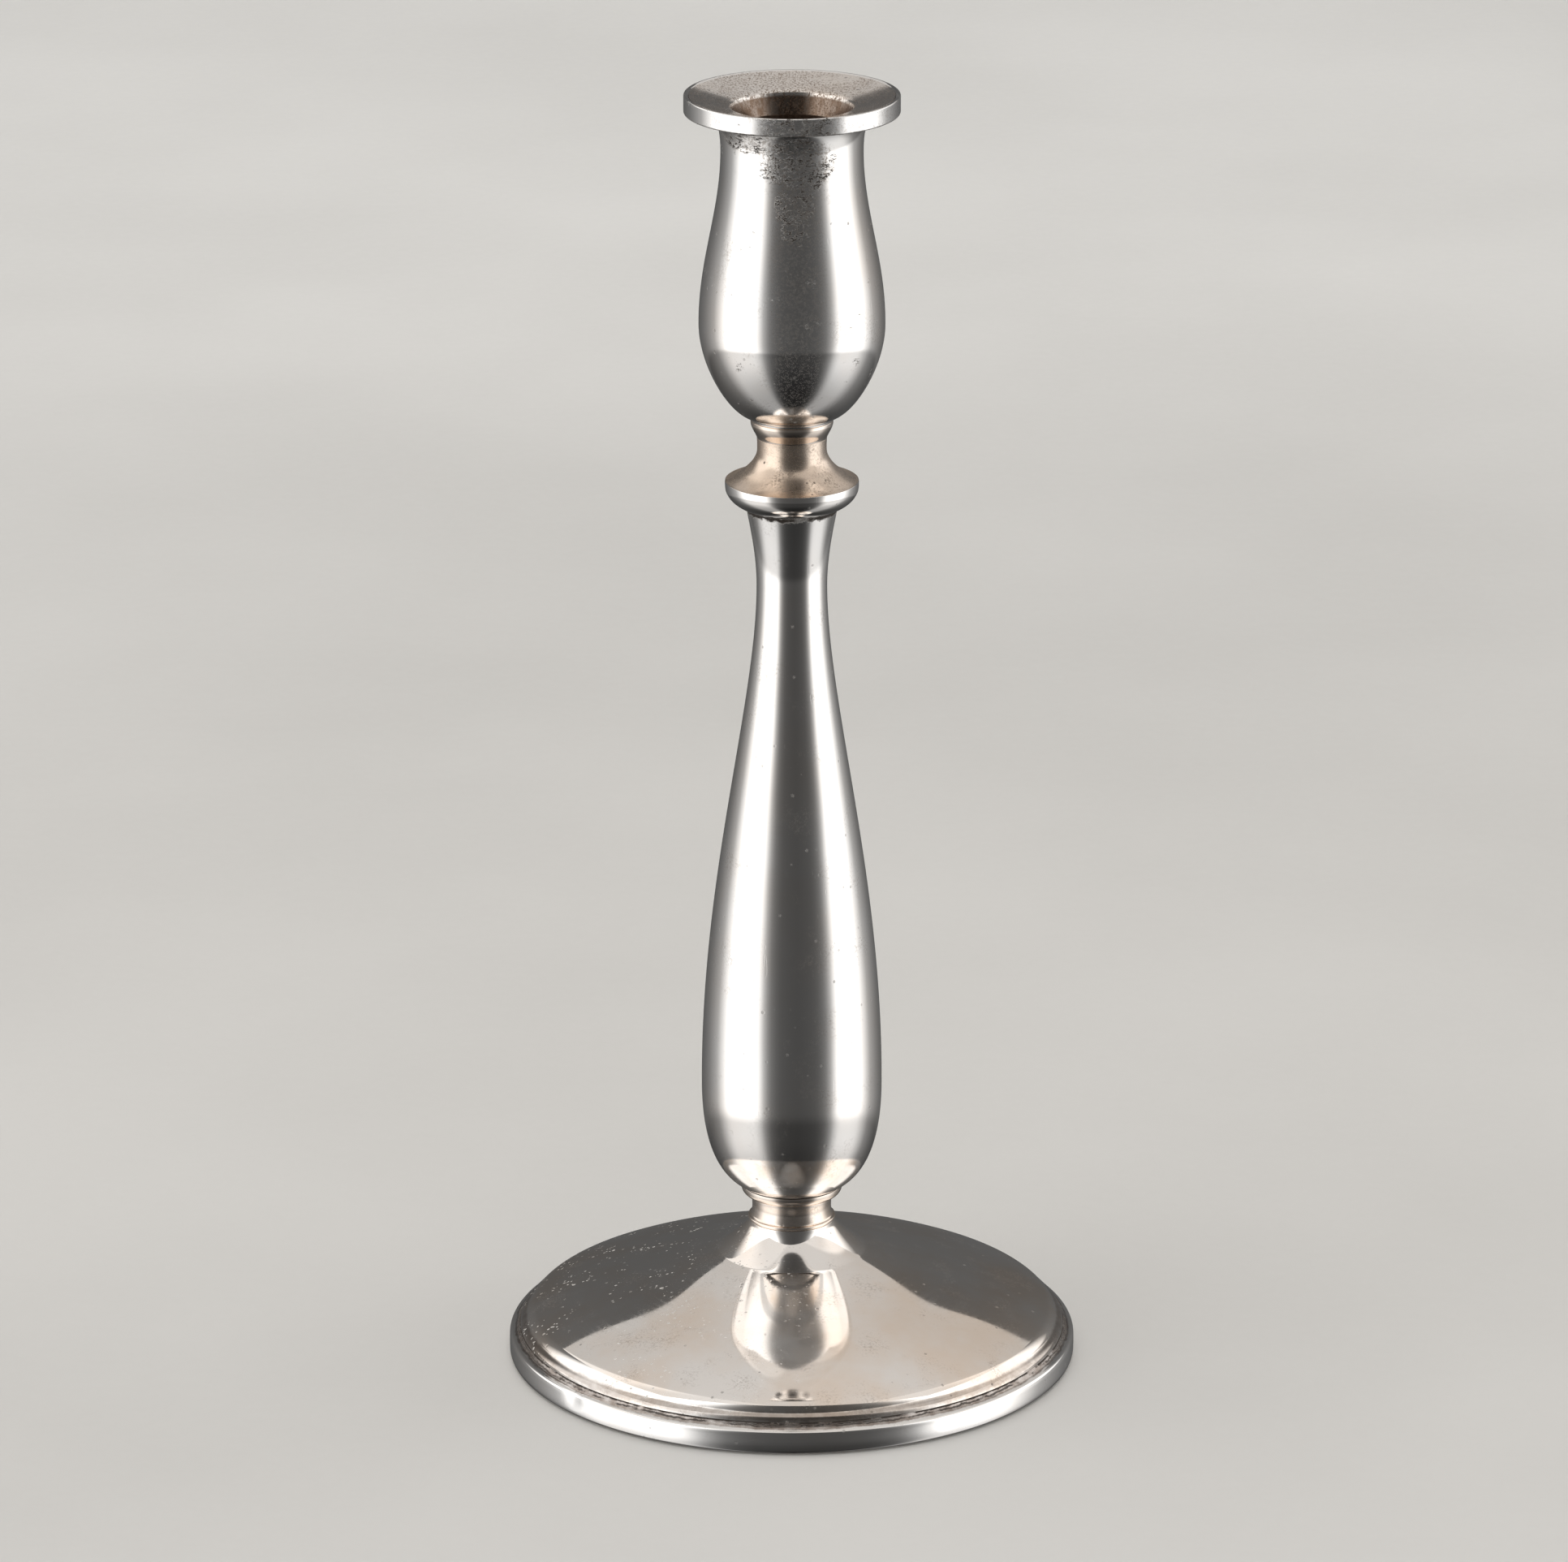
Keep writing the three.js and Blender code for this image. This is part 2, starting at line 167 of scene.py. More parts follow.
# ---------------------------------------------------------------- turned pieces
def turned(name, outline, node, material, segments=FINE, edge=0.0, shape=None):
    """Turns a closed outline about the vertical axis, and stands it in for a CAD node.

    edge: the radius of its rounded corners, if they are rounded. shape: moves each point afterwards.
    """
    points = soften(outline, edge) if edge else outline
    build = bmesh.new()
    rings = []
    for r, z in points:
        if r < ON_AXIS:
            rings.append([build.verts.new((0, 0, z))])
            continue
        ring = []
        for k in range(segments):
            angle = 2 * math.pi * k / segments
            ring.append(build.verts.new((r * math.cos(angle), r * math.sin(angle), z)))
        rings.append(ring)
    pairs = list(zip(rings, rings[1:]))
    if len(rings[0]) > 1:
        pairs.append((rings[-1], rings[0]))
    for one, other in pairs:
        for k in range(segments):
            after = (k + 1) % segments
            corners = [
                one[k % len(one)], one[after % len(one)],
                other[after % len(other)], other[k % len(other)],
            ]
            build.faces.new(list(dict.fromkeys(corners)))
    bmesh.ops.recalc_face_normals(build, faces=build.faces)
    if shape:
        for vertex in build.verts:
            vertex.co = shape(vertex.co.copy())
    mesh = bpy.data.meshes.new(name)
    build.to_mesh(mesh)
    build.free()
    mesh.shade_smooth()
    mesh.set_sharp_from_angle(angle=HARD_EDGE)
    mesh.materials.append(material)
    piece = bpy.data.objects.new(name, mesh)
    bpy.context.scene.collection.objects.link(piece)
    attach(piece, body_of(node))
    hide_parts(node)
    return piece


def body_of(node):
    for body, nodes in frame["record"]["behaviour"]["bodies"].items():
        if node in nodes:
            return body


# ---------------------------------------------------------------- shader helpers
class Shader:
    """A node tree under construction, with its coordinates split into x, y and z."""

    def __init__(self, tree, coordinates):
        self.tree = tree
        self.tree.nodes.clear()
        self.place = self.tree.nodes.new("ShaderNodeTexCoord").outputs[coordinates]
        split = self.tree.nodes.new("ShaderNodeSeparateXYZ")
        self.tree.links.new(self.place, split.inputs[0])
        self.x, self.y, self.z = split.outputs

    def put(self, value, socket):
        if isinstance(value, bpy.types.NodeSocket):
            self.tree.links.new(value, socket)
        else:
            socket.default_value = value

    def maths(self, operation, a, b=0.0, clamp=False):
        node = self.tree.nodes.new("ShaderNodeMath")
        node.operation = operation
        node.use_clamp = clamp
        self.put(a, node.inputs[0])
        self.put(b, node.inputs[1])
        return node.outputs[0]

    def plus(self, a, b, clamp=False):
        return self.maths("ADD", a, b, clamp)

    def minus(self, a, b, clamp=False):
        return self.maths("SUBTRACT", a, b, clamp)

    def size(self, value):
        return self.maths("ABSOLUTE", value)

    def times(self, *values):
        result = values[0]
        for value in values[1:]:
            result = self.maths("MULTIPLY", result, value)
        return result

    def most(self, *values):
        result = values[0]
        for value in values[1:]:
            result = self.maths("MAXIMUM", result, value)
        return result

    def ramp(self, value, start, end, low_value=0.0, high_value=1.0):
        """A smooth step of value from start to end."""
        node = self.tree.nodes.new("ShaderNodeMapRange")
        node.interpolation_type = "SMOOTHSTEP"
        self.put(value, node.inputs["Value"])
        self.put(start, node.inputs["From Min"])
        self.put(end, node.inputs["From Max"])
        self.put(low_value, node.inputs["To Min"])
        self.put(high_value, node.inputs["To Max"])
        return node.outputs[0]

    def near(self, centre, reach, front=0.0):
        """One round a centre (x, z), falling to none at the reach, and only where y is below front."""
        total = 0.0
        for axis, middle, extent in zip((self.x, self.z), centre, reach):
            part = self.maths("DIVIDE", self.minus(axis, middle), extent)
            total = self.plus(self.times(part, part), total)
        before = self.ramp(self.y, front - 2 * MM, front, 1.0, 0.0)
        return self.times(self.ramp(total, 0.1, 1.0, 1.0, 0.0), before)

    def from_axis(self):
        squares = self.plus(self.times(self.x, self.x), self.times(self.y, self.y))
        return self.maths("SQRT", squares)

    def wander(self, noise, amount):
        """A noise that strays to both sides of nothing."""
        return self.times(self.minus(noise, 0.5), amount)

    def stretched(self, scale, turn=(0, 0, 0), shift=(0, 0, 0)):
        node = self.tree.nodes.new("ShaderNodeMapping")
        node.inputs["Scale"].default_value = scale
        node.inputs["Rotation"].default_value = turn
        node.inputs["Location"].default_value = shift
        self.put(self.place, node.inputs["Vector"])
        return node.outputs[0]

    def noise(self, scale, detail, rough, vector=None, distortion=0.0):
        node = self.tree.nodes.new("ShaderNodeTexNoise")
        self.put(vector or self.place, node.inputs["Vector"])
        node.inputs["Scale"].default_value = scale
        node.inputs["Detail"].default_value = detail
        node.inputs["Roughness"].default_value = rough
        node.inputs["Distortion"].default_value = distortion
        return node.outputs[0]

    def cells(self, scale, vector=None):
        node = self.tree.nodes.new("ShaderNodeTexVoronoi")
        self.put(vector or self.place, node.inputs["Vector"])
        node.inputs["Scale"].default_value = scale
        return node.outputs

    def blend(self, share, a, b):
        node = self.tree.nodes.new("ShaderNodeMix")
        node.data_type = "RGBA"
        self.put(share, node.inputs[0])
        self.put(a, node.inputs[6])
        self.put(b, node.inputs[7])
        return node.outputs[2]

    def bump(self, height, distance, strength=1.0, normal=None):
        node = self.tree.nodes.new("ShaderNodeBump")
        node.inputs["Distance"].default_value = distance
        node.inputs["Strength"].default_value = strength
        self.put(height, node.inputs["Height"])
        if normal:
            self.put(normal, node.inputs["Normal"])
        return node.outputs[0]


class Finish(Shader):
    """A material. Its patterns are placed by the object's own coordinates."""

    def __init__(self, name):
        self.material = bpy.data.materials.new(name)
        self.material.use_nodes = True
        super().__init__(self.material.node_tree, "Object")
        self.output = self.tree.nodes.new("ShaderNodeOutputMaterial")
        self.surface = self.tree.nodes.new("ShaderNodeBsdfPrincipled")
        self.tree.links.new(self.surface.outputs[0], self.output.inputs[0])

    def set(self, **inputs):
        for name, value in inputs.items():
            self.put(value, self.surface.inputs[name.replace("_", " ")])


def colour(r, g, b):
    return (r, g, b, 1.0)


POLISHED = colour(0.87, 0.855, 0.84)
WARM = colour(0.80, 0.60, 0.43)
STAIN = colour(0.20, 0.155, 0.12)
PATINA = colour(0.15, 0.10, 0.07)
GRIME = colour(0.035, 0.026, 0.02)
DUST = colour(0.62, 0.60, 0.57)
CRAZED_ROUGHNESS = 0.04          # added where each covers the silver fully
DIRT_ROUGHNESS = 0.45
STAIN_ROUGHNESS = 0.10
WAVE_DEPTH = 0.12 * MM
SCRATCH_DEPTH = 0.003 * MM
DIRT_DEPTH = 0.02 * MM
SCRATCH_WAYS = [                 # how each set of scratches is turned, and shifted
    ((0.3, 0.9, 0.4), (0, 0, 0)),
    ((1.2, 0.2, -0.7), (4, 1, 7)),
    ((0.8, 1.6, 1.1), (9, 5, 2)),
]


def seam_dirt(s, seams):
    """Ragged rings of dirt."""
    grime = 0.0
    for height, half, ragged in seams:
        wander = s.wander(s.noise(420, 5, 0.7), ragged * 2)
        away = s.size(s.plus(s.minus(s.z, height), wander))
        line = s.ramp(away, 0.35 * half, half, 1.0, 0.0)
        patch = s.ramp(s.noise(160, 3, 0.6), 0.34, 0.46)
        grime = s.most(grime, s.times(line, patch))
    return grime


def crack_nets(s, near, share):
    """Two nets of fine broken lines, in patches."""
    patches = s.ramp(s.plus(s.noise(260, 4, 0.65), s.times(near, share)), 0.62, 0.74)
    nets = []
    for scale, shift in ((190, (0, 0, 0)), (300, (3, 5, 2))):
        field = s.noise(1.0, 5, 0.62, s.stretched((scale, scale, scale * 3.0), shift=shift))
        line = s.ramp(s.size(s.minus(field, 0.5)), 0.010, 0.024, 1.0, 0.0)
        broken = s.ramp(s.noise(520, 4, 0.7), 0.42, 0.52)
        nets.append(s.times(line, broken, patches))
    return nets


def groove_stain(s, inner, outer, strength, thread_share):
    """A stained groove round the axis, and a dark broken thread in the middle of it."""
    reach = s.plus(s.from_axis(), s.wander(s.noise(260, 5, 0.7), 1.1 * MM))
    belt = s.times(
        s.ramp(reach, inner - 0.3 * MM, inner + 0.25 * MM),
        s.ramp(reach, outer - 0.25 * MM, outer + 0.15 * MM, 1.0, 0.0),
    )
    stain = s.times(belt, s.ramp(s.noise(420, 4, 0.6), 0.25, 0.70, 0.65, 1.0), strength)
    middle = s.size(s.minus(reach, 0.5 * (inner + outer)))
    broken = s.ramp(s.noise(150, 4, 0.6), 0.40, 0.52)
    thread = s.times(s.ramp(middle, 0.06 * MM, 0.2 * MM, 1.0, 0.0), broken)
    return stain, s.times(thread, thread_share)


def throat_stain_and_shade(s, stained, throat, within):
    """Brown tarnish streaks below the throat's height, with a fringe over it, and painted shade that darkens
    the wall with depth.
    """
    # painted shade: all of the wall below the throat's height is darkened, and streaked with tarnish as well
    deep_painted_shade = s.ramp(s.z, throat - 0.5 * MM, throat + 0.15 * MM, 1.0, 0.0)
    streaks = s.noise(1.0, 4, 0.65, s.stretched((820, 820, 70)))
    stained = s.most(stained, s.times(deep_painted_shade, s.ramp(streaks, 0.36, 0.62, 0.86, 1.0)))
    fringe = s.ramp(s.z, throat - 0.2 * MM, throat + 0.9 * MM, 1.0, 0.0)
    stained = s.most(stained, s.times(fringe, s.ramp(streaks, 0.52, 0.60), 0.8))
    if within:
        blur = 0.1 * MM
        stained = s.times(stained, s.ramp(s.from_axis(), within - blur, within + blur, 1.0, 0.0))
    return stained


def dust_flecks(s, dust):
    """Pale flecks on the left, in two sizes."""
    side = s.times(s.ramp(s.noise(85, 4, 0.7), 0.50, 0.60), s.ramp(s.x, 0.012, -0.02))
    flecks = 0.0
    for scale, share, size in ((1500, 0.58, 0.36), (820, 0.78, 0.28)):
        fleck = s.cells(1.0, vector=s.stretched((scale * 0.75, scale, scale), (0.1, 0.2, 0.5)))
        chance = s.maths("FRACT", s.times(fleck["Color"], 5.7))
        spread = s.ramp(chance, share, 1.0, 0.3 * size, size)
        spot = s.maths("LESS_THAN", fleck["Distance"], spread)
        flecks = s.most(flecks, s.times(spot, s.maths("GREATER_THAN", chance, share)))
    return s.times(flecks, side, dust)


def worn_roughness(s, rough, hazed, dirt, stained):
    """Clouds of haze and fine polishing lines, duller where there is dirt."""
    haze = s.ramp(s.noise(60, 5, 0.65), 0.3, 0.75, -0.3 * rough, 0.45 * rough)
    brushed = s.wander(s.noise(1.0, 2, 0.6, s.stretched((60, 60, 5200))), 0.10)
    roughness = s.plus(s.plus(rough, haze), s.plus(brushed, s.times(hazed, CRAZED_ROUGHNESS)))
    roughness = s.plus(roughness, s.times(dirt, DIRT_ROUGHNESS))
    return s.plus(roughness, s.times(stained, STAIN_ROUGHNESS), clamp=True)


def worn_relief(s, grime, pitted, scratches):
    """Slow waves of the beaten sheet, hairline scratches, and dirt in low relief."""
    waves = s.bump(s.noise(48, 1, 0.4), WAVE_DEPTH)
    hairs = []
    for turn, shift in SCRATCH_WAYS:
        hair = s.noise(1.0, 1, 0.4, s.stretched((1900, 1900, 45), turn, shift))
        here = s.ramp(s.noise(80, 2, 0.5, distortion=1.0), 0.5, 0.6)
        hairs.append(s.times(s.ramp(hair, 0.735, 0.765), here))
    scratched = s.bump(s.most(*hairs), -SCRATCH_DEPTH, scratches, waves)
    return s.bump(s.minus(s.times(grime, 0.5), pitted), DIRT_DEPTH, 1.0, scratched)


def silver(name, warmth, rough, mottle, pits, base_warmth=0.0, grain=1900, film=0.0, scratches=1.0,
           dust=0.0, seams=(), cracks=(), speckled=(), patina=(), dust_and_painted_light_veil=(), throat=None,
           stained_within=None):
    """Old polished silver.

    warmth, mottle, pits, scratches: how strong each is. base_warmth: the least warmth anywhere.
    grain: how fine the mottling is. film: an uneven brown film all over. dust: pale flecks on the left.
    seams: rings of dirt, as (height, half width, raggedness).
    cracks: patches of crazed tarnish on the front, as (centre, reach, share); see Shader.near.
    speckled: patches of fine dark specks on the front, as (centre, reach, share).
    patina: a stained groove, as (inner radius, outer radius, strength, strength of a dark thread in it).
    veil: a pale film at one place, partly dust and partly painted lightening of a dark reflection, as
    (centre, reach, front, share).
    throat: the height below which the wall is stained brown in streaks and darkened with painted shade,
    inside stained_within if given.
    """
    s = Finish(name)

    # broad warm tarnish, in soft clouds
    clouds = s.ramp(s.noise(38, 4, 0.6), 0.35, 0.72)
    warm_share = s.plus(s.times(clouds, warmth), base_warmth, clamp=True)
    tone = s.blend(warm_share, POLISHED, WARM)

    # fine grey-brown mottling
    specks = s.ramp(s.noise(grain, 4, 0.7), 0.47, 0.61)
    cover = s.ramp(s.noise(110, 5, 0.65), 0.62 - 0.30 * mottle, 0.82 - 0.30 * mottle)
    mottled = s.times(specks, cover, mottle)

    # small dark pits, scattered
    pit = s.cells(520)
    chance = s.ramp(s.maths("FRACT", s.times(pit["Color"], 7.3)), 0.90, 0.93)
    pitted = s.times(s.ramp(pit["Distance"], 0.10, 0.22, 1.0, 0.0), chance, pits)

    # rings of dirt, and crazed or speckled patches
    grime = seam_dirt(s, seams)
    hazed = 0.0
    for centre, reach, share in cracks:
        near = s.near(centre, reach)
        hazed = s.most(hazed, near)
        grime = s.most(grime, *crack_nets(s, near, share))
        mottled = s.most(mottled, s.times(specks, s.ramp(near, 0.0, 0.6), 0.25 + share))
    for centre, reach, share in speckled:
        near = s.near(centre, reach)
        mottled = s.most(mottled, s.times(specks, s.ramp(near, 0.0, 0.6), share))

    # brown stains
    stained = 0.0
    if patina:
        stained, thread = groove_stain(s, *patina)
        grime = s.most(grime, thread)
    # brown tarnish streaks, and painted shade darkening the wall below the throat
    if throat:
        stained = throat_stain_and_shade(s, stained, throat, stained_within)
    if film:
        uneven = s.ramp(s.noise(150, 5, 0.65), 0.30, 0.70, 0.6, 1.3)
        stained = s.most(stained, s.times(uneven, film))

    tone = s.blend(mottled, tone, STAIN)
    tone = s.blend(stained, tone, PATINA)
    tone = s.blend(pitted, tone, GRIME)
    tone = s.blend(grime, tone, GRIME)

    dirt = s.most(grime, s.times(pitted, 0.8), s.times(mottled, 0.3))
    metal = s.minus(1.0, s.times(dirt, 0.7), clamp=True)

    # dust, as flecks, and a pale film that is partly dust and partly painted lightening of a dark reflection
    if dust:
        flecks = dust_flecks(s, dust)
        tone = s.blend(flecks, tone, DUST)
        dirt = s.most(dirt, flecks)
        metal = s.minus(metal, flecks, clamp=True)
    if dust_and_painted_light_veil:
        centre, reach, front, share = dust_and_painted_light_veil
        # painted lightening: a pale, less metallic film on the front that is partly dust and partly stands in
        # for a lighter reflection there
        uneven = s.ramp(s.noise(240, 4, 0.6), 0.25, 0.75, 0.6, 1.0)
        dust_and_painted_light = s.times(s.near(centre, reach, front), uneven, share)
        tone = s.blend(dust_and_painted_light, tone, DUST)
        metal = s.minus(metal, dust_and_painted_light, clamp=True)

    s.set(
        Base_Color=tone, Metallic=metal, Roughness=worn_roughness(s, rough, hazed, dirt, stained),
        Normal=worn_relief(s, grime, pitted, scratches),
    )
    return s.material


def steel(name):
    s = Finish(name)
    clouds = s.noise(300, 5, 0.6)
    rust = s.ramp(s.noise(700, 4, 0.7), 0.58, 0.70)
    tone = s.blend(clouds, colour(0.30, 0.31, 0.32), colour(0.50, 0.50, 0.48))
    tone = s.blend(rust, tone, colour(0.20, 0.10, 0.05))
    rough = s.plus(s.times(clouds, 0.25), s.plus(0.25, s.times(rust, 0.4)))
    turned_marks = s.noise(1.0, 2, 0.5, s.stretched((120, 120, 4200)))
    s.set(
        Base_Color=tone, Metallic=s.minus(1.0, rust), Roughness=rough,
        Normal=s.bump(turned_marks, 0.03 * MM),
    )
    return s.material


def pitch(name):
    s = Finish(name)
    clouds = s.noise(120, 6, 0.65)
    grit = s.ramp(s.noise(1500, 3, 0.7), 0.55, 0.68)
    tone = s.blend(clouds, colour(0.03, 0.024, 0.02), colour(0.10, 0.08, 0.065))
    tone = s.blend(grit, tone, colour(0.24, 0.21, 0.18))
    s.set(
        Base_Color=tone, Roughness=s.ramp(clouds, 0.3, 0.7, 0.45, 0.9),
        Normal=s.bump(s.noise(500, 6, 0.7), 0.4 * MM),
    )
    return s.material


def wool(name):
    s = Finish(name)
    nap = s.noise(3200, 4, 0.75)
    felted = s.noise(1.0, 4, 0.7, s.stretched((900, 2600, 900), (0.2, 0.1, 0.7)))
    worn = s.ramp(s.noise(45, 4, 0.6), 0.45, 0.75)
    tone = s.blend(nap, colour(0.012, 0.045, 0.024), colour(0.04, 0.115, 0.065))
    tone = s.blend(s.times(worn, 0.5), tone, colour(0.10, 0.14, 0.09))
    s.set(
        Base_Color=tone, Roughness=s.ramp(nap, 0.2, 0.8, 0.85, 1.0),
        Normal=s.bump(s.plus(nap, felted), 0.5 * MM),
    )
    s.surface.inputs["Sheen Weight"].default_value = 0.5
    s.surface.inputs["Sheen Roughness"].default_value = 0.6
    return s.material


# ---------------------------------------------------------------- finishes
LIP_Z = high("cup_shell")
SEAM_KNOP = high("stem_shell")
SEAM_STEP = low("foot_shell")

silver_cup = silver(
    "silver_cup", warmth=0.22, rough=0.08, mottle=0.36, pits=0.5,
    seams=[(LIP_Z, 1.5 * MM, 1.0 * MM)],
    cracks=[
        ((1.0 * MM, LIP_Z - 7 * MM), (9 * MM, 6.5 * MM), 0.46),
        ((0.5 * MM, LIP_Z - 16 * MM), (5 * MM, 9 * MM), 0.34),
        ((-7 * MM, LIP_Z - 3.5 * MM), (8 * MM, 2.6 * MM), 0.30),
    ],
    speckled=[((1 * MM, LIP_Z - 32 * MM), (6.5 * MM, 34 * MM), 0.42)],
)
silver_nozzle = silver(
    "silver_nozzle", warmth=0.10, rough=0.06, mottle=0.5, pits=0.6,
    seams=[(low("nozzle_rim_band"), 0.3 * MM, 0.3 * MM)],
    cracks=[((1.5 * MM, low("nozzle_rim_band") + 1.8 * MM), (10 * MM, 4 * MM), 0.22)],
)
silver_pan = silver(
    "silver_pan", base_warmth=0.12, warmth=0.25, rough=0.10, mottle=1.0, pits=0.6, grain=2600, film=0.16,
    # below the throat the wall is streaked brown and darkened with painted shade
    throat=high("nozzle_pan") - 2.7 * MM,
)
# the bore's inside is streaked brown and darkened all over with painted shade
silver_bore = silver(
    "silver_bore", base_warmth=0.3, warmth=0.6, rough=0.35, mottle=1.0, pits=0.8, throat=high("nozzle_pan"),
    stained_within=radius("nozzle_candle_tube") - 0.4 * MM,
)
silver_warm = silver(
    "silver_warm", base_warmth=0.40, warmth=0.35, rough=0.11, mottle=0.35, pits=0.5, film=0.08,
)
silver_spool = silver(
    "silver_spool", base_warmth=0.60, warmth=0.35, rough=0.25, mottle=0.62, pits=0.8, film=0.18,
    scratches=0.25,
)
silver_knop = silver(
    "silver_knop", base_warmth=0.04, warmth=0.15, rough=0.06, mottle=0.2, pits=0.3,
    seams=[(SEAM_KNOP, 0.5 * MM, 0.6 * MM)],
)
silver_stem = silver(
    "silver_stem", base_warmth=0.02, warmth=0.15, rough=0.09, mottle=0.35, pits=0.35,
    seams=[(SEAM_KNOP, 0.75 * MM, 1.3 * MM), (low("stem_shell"), 0.4 * MM, 0.2 * MM)],
)
silver_foot = silver(
    "silver_foot", base_warmth=0.10, warmth=0.45, rough=0.055, mottle=0.4, pits=0.5, dust=0.9,
    patina=(53.6 * MM, 54.85 * MM, 0.55, 0.0),
    # the pale film on the dome's front is partly dust and partly painted lightening of the bulb's dark
    # reflection there
    dust_and_painted_light_veil=((0, 16 * MM), (10 * MM, 7 * MM), -14 * MM, 0.16),
)
silver_band = silver(
    "silver_band", warmth=0.15, rough=0.08, mottle=0.3, pits=0.4,
    seams=[(SEAM_STEP, 0.35 * MM, 0.3 * MM)], patina=(54.7 * MM, 56.0 * MM, 0.82, 0.82),
)
silver_liner = silver("silver_liner", warmth=0.8, rough=0.3, mottle=0.9, pits=0.6)

# ---------------------------------------------------------------- nozzle
rim = radius("nozzle_rim_band")
top = high("nozzle_rim_band")
lip = low("nozzle_rim_band")
bore = 10.5 * MM
tube_outer = radius("nozzle_candle_tube")
tube_top = high("nozzle_candle_tube")
tube_floor = low("nozzle_candle_tube")
rim_inner = rim - 1.0 * MM
seat_inner = 14.5 * MM

turned("rim_band", [
    (seat_inner, lip), (rim, lip), (rim, top), (rim_inner, top - 0.2 * MM),
    (rim_inner, lip + SHEET), (seat_inner, lip + SHEET),
], "nozzle_rim_band", silver_nozzle, edge=0.35 * MM)

PAN_SLOPE = 14.2                 # degrees
THROAT_SLOPE = 70
THROAT_ROLL = 1.0 * MM
pan_inside = 12.6 * MM
pan_edge = top - 0.2 * MM


def pan_surface(offset, bow):
    """The dish from the rim to the bore; bow sags the dish a little between rim and throat."""
    slope, wall = math.radians(PAN_SLOPE), math.radians(THROAT_SLOPE)
    fall = (rim_inner - pan_inside) * math.tan(slope)
    centre = (pan_inside + THROAT_ROLL * math.sin(slope), pan_edge - fall - THROAT_ROLL * math.cos(slope))
    roll = arc(centre, THROAT_ROLL + offset, 90 + PAN_SLOPE, 90 + THROAT_SLOPE, 12)
    start = (rim_inner, pan_edge + offset / math.cos(slope))
    dish = [(
        start[0] + (roll[0][0] - start[0]) * t,
        start[1] + (roll[0][1] - start[1]) * t - bow * math.sin(math.pi * t),
    ) for t in (k / 16 for k in range(16))]
    edge = bore - offset
    end = tube_top if offset else roll[-1][1] - (roll[-1][0] - edge) * math.tan(wall)
    return join(dish, roll, [(edge, end)])


turned("dished_pan", join(reversed(pan_surface(-SHEET, 0)), pan_surface(0, 0.05 * MM)),
       "nozzle_pan", silver_pan)

turned("candle_tube", [
    (0, tube_floor), (tube_outer - 0.3 * MM, tube_floor), (tube_outer, tube_floor + 0.4 * MM),
    (tube_outer, tube_top), (bore, tube_top), (bore, tube_floor + SHEET), (0, tube_floor + SHEET),
], "nozzle_candle_tube", silver_bore, MEDIUM, edge=0.1 * MM)

# ---------------------------------------------------------------- cup
cup_foot = (8.1 * MM, low("cup_shell"))
belly = (radius("cup_shell"), 214.2 * MM)
neck = (13.86 * MM, 248.86 * MM)
lip_radius = 16.2 * MM


def cup_outline():
    return join(
        curve(cup_foot, (8.1 * MM, cup_foot[1] + 0.4 * MM), (8.3 * MM, cup_foot[1] + 0.55 * MM),
              (8.6 * MM, cup_foot[1] + 0.7 * MM), 4),
        curve((8.6 * MM, cup_foot[1] + 0.7 * MM), (12.3 * MM, 196.4 * MM),
              (belly[0], belly[1] - 8.2 * MM), belly, 30),
        curve(belly, (belly[0], belly[1] + 13.2 * MM), (neck[0], neck[1] - 12.4 * MM), neck, 28),
        curve(neck, (neck[0], neck[1] + 4.5 * MM), (14.7 * MM, LIP_Z - 1 * MM), (lip_radius, LIP_Z), 16),
    )


outer = cup_outline()
inner = [p for p in reversed(inset(outer, SHEET)) if p[1] > cup_foot[1] + 1.9 * MM]
hole = 2.3 * MM
turned("cup_bowl", join(
    outer, inner,
    [(6.4 * MM, cup_foot[1] + 1.2 * MM), (hole, cup_foot[1] + 1.2 * MM), (hole, cup_foot[1])],
), "cup_shell", silver_cup, edge=0.08 * MM)

# ---------------------------------------------------------------- collar, spool and knop
collar = radius("cup_collar")
spool_top = high("knop_spool")
edge_z = low("knop_spool")
turned("collar", join(
    [(hole, spool_top)],
    curve((6.9 * MM, spool_top), (7.0 * MM, spool_top + 0.7 * MM), (collar - 0.1 * MM, spool_top + 1.8 * MM),
          (collar, spool_top + 3.0 * MM), 14),
    [(collar, cup_foot[1] - 0.25 * MM), (collar - 0.3 * MM, cup_foot[1]), (hole, cup_foot[1])],
), "cup_collar", silver_warm, MEDIUM, edge=0.15 * MM)

knop = 13.1 * MM
waist = (6.8 * MM, 189 * MM)
turned("spool", join(
    curve((knop, edge_z), (knop - 2.1 * MM, edge_z + 0.3 * MM), (waist[0], waist[1] - 3 * MM), waist, 26),
    curve(waist, (waist[0], waist[1] + 0.9 * MM), (6.8 * MM, spool_top - 0.9 * MM),
          (6.88 * MM, spool_top), 6),
    [(hole, spool_top), (hole, spool_top - 1 * MM), (5.5 * MM, spool_top - 1 * MM)],
    curve((5.9 * MM, waist[1] - 0.4 * MM), (6.1 * MM, 186 * MM), (7.4 * MM, 184.2 * MM),
          (10.2 * MM, edge_z), 8),
), "knop_spool", silver_spool, edge=0.06 * MM)

